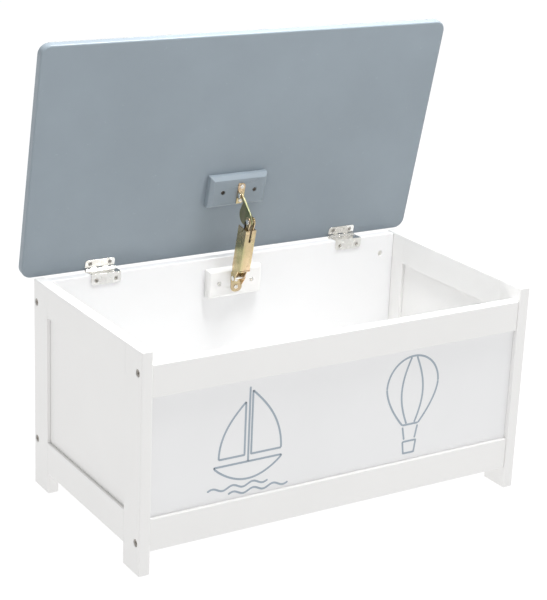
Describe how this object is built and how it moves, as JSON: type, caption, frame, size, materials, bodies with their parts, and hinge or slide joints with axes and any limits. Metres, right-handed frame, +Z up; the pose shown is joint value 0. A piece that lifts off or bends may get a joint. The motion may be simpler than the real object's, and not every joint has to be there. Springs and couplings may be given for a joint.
{
  "type": "toy box",
  "caption": "Free-standing wooden toy box: post and rail end frames, panelled front, full back, and a one-piece overhanging lid on leaf hinges with a folding spring lid stay.",
  "frame": {"origin": "on the floor, under the centre of the box's outer size with the lid open", "axes": "+X to the box's right as seen from its front, +Y to its back, +Z up"},
  "size_m": [0.79, 0.419, 0.7861],
  "materials": {
    "white_paint": "satin white paint on wood board",
    "grey_paint": "satin blue-grey paint on wood board",
    "nickel": "bright nickel plate",
    "yellow_zinc": "yellow passivated zinc plate",
    "dark_steel": "dark burnished steel",
    "spring_steel": "drawn spring wire",
    "moulded_plastic": "black moulded plastic"
  },
  "bodies": {
    "box_body": {"left_front_post": "white_paint", "left_rear_post": "white_paint", "left_bottom_rail": "white_paint", "left_top_rail": "white_paint", "left_end_panel": "white_paint", "right_front_post": "white_paint", "right_rear_post": "white_paint", "right_bottom_rail": "white_paint", "right_top_rail": "white_paint", "right_end_panel": "white_paint", "front_bottom_rail": "white_paint", "front_top_rail": "white_paint", "front_panel": "white_paint", "back_panel": "white_paint", "floor_panel": "white_paint", "stay_back_block": "white_paint", "left_front_lower_bolt": "dark_steel", "left_front_upper_bolt": "dark_steel", "left_rear_lower_bolt": "dark_steel", "left_rear_upper_bolt": "dark_steel", "right_front_lower_bolt": "dark_steel", "right_front_upper_bolt": "dark_steel", "right_rear_lower_bolt": "dark_steel", "right_rear_upper_bolt": "dark_steel", "left_hinge_box_leaf": "nickel", "left_hinge_pin": "nickel", "left_hinge_inner_box_screw": "nickel", "left_hinge_outer_box_screw": "nickel", "right_hinge_box_leaf": "nickel", "right_hinge_pin": "nickel", "right_hinge_inner_box_screw": "nickel", "right_hinge_outer_box_screw": "nickel", "back_block_left_screw": "nickel", "back_block_right_screw": "nickel", "stay_lower_bracket_screw_1": "nickel", "stay_lower_bracket_screw_2": "nickel", "stay_lower_rivet": "nickel", "stay_lower_bracket": "yellow_zinc"},
    "lid_body": {"lid": "grey_paint", "lid_block": "grey_paint", "lid_block_left_screw": "dark_steel", "lid_block_right_screw": "dark_steel", "left_hinge_lid_leaf": "nickel", "left_hinge_inner_lid_screw": "nickel", "left_hinge_outer_lid_screw": "nickel", "right_hinge_lid_leaf": "nickel", "right_hinge_inner_lid_screw": "nickel", "right_hinge_outer_lid_screw": "nickel", "stay_upper_bracket_screw_1": "nickel", "stay_upper_bracket_screw_2": "nickel", "stay_upper_rivet": "nickel", "stay_upper_bracket": "yellow_zinc"},
    "stay_housing_body": {"stay_housing": "yellow_zinc", "stay_yoke": "yellow_zinc", "stay_spring": "spring_steel", "stay_follower": "moulded_plastic", "stay_elbow_rivet": "nickel"},
    "stay_arm_body": {"stay_arm": "yellow_zinc"}
  },
  "joints": [
    {"name": "lid_hinge", "type": "hinge", "parent": "box_body", "child": "lid_body", "pos_m": [0, 0.19001, 0.3745], "axis": [1, 0, 0], "range_deg": [0, 77.6]},
    {"name": "stay_foot_pivot", "type": "hinge", "parent": "box_body", "child": "stay_housing_body", "pos_m": [0, 0.14402, 0.339], "axis": [1, 0, 0], "range_deg": [-1, 83]},
    {"name": "stay_elbow_pivot", "type": "hinge", "parent": "stay_housing_body", "child": "stay_arm_body", "pos_m": [0, 0.10852, 0.452], "axis": [1, 0, 0], "range_deg": [-91, 1]}
  ],
  "couplings": [
    {"joint": "stay_foot_pivot", "follows": "lid_hinge", "ratio": 1.0556},
    {"joint": "stay_elbow_pivot", "follows": "lid_hinge", "ratio": -1.1619}
  ]
}
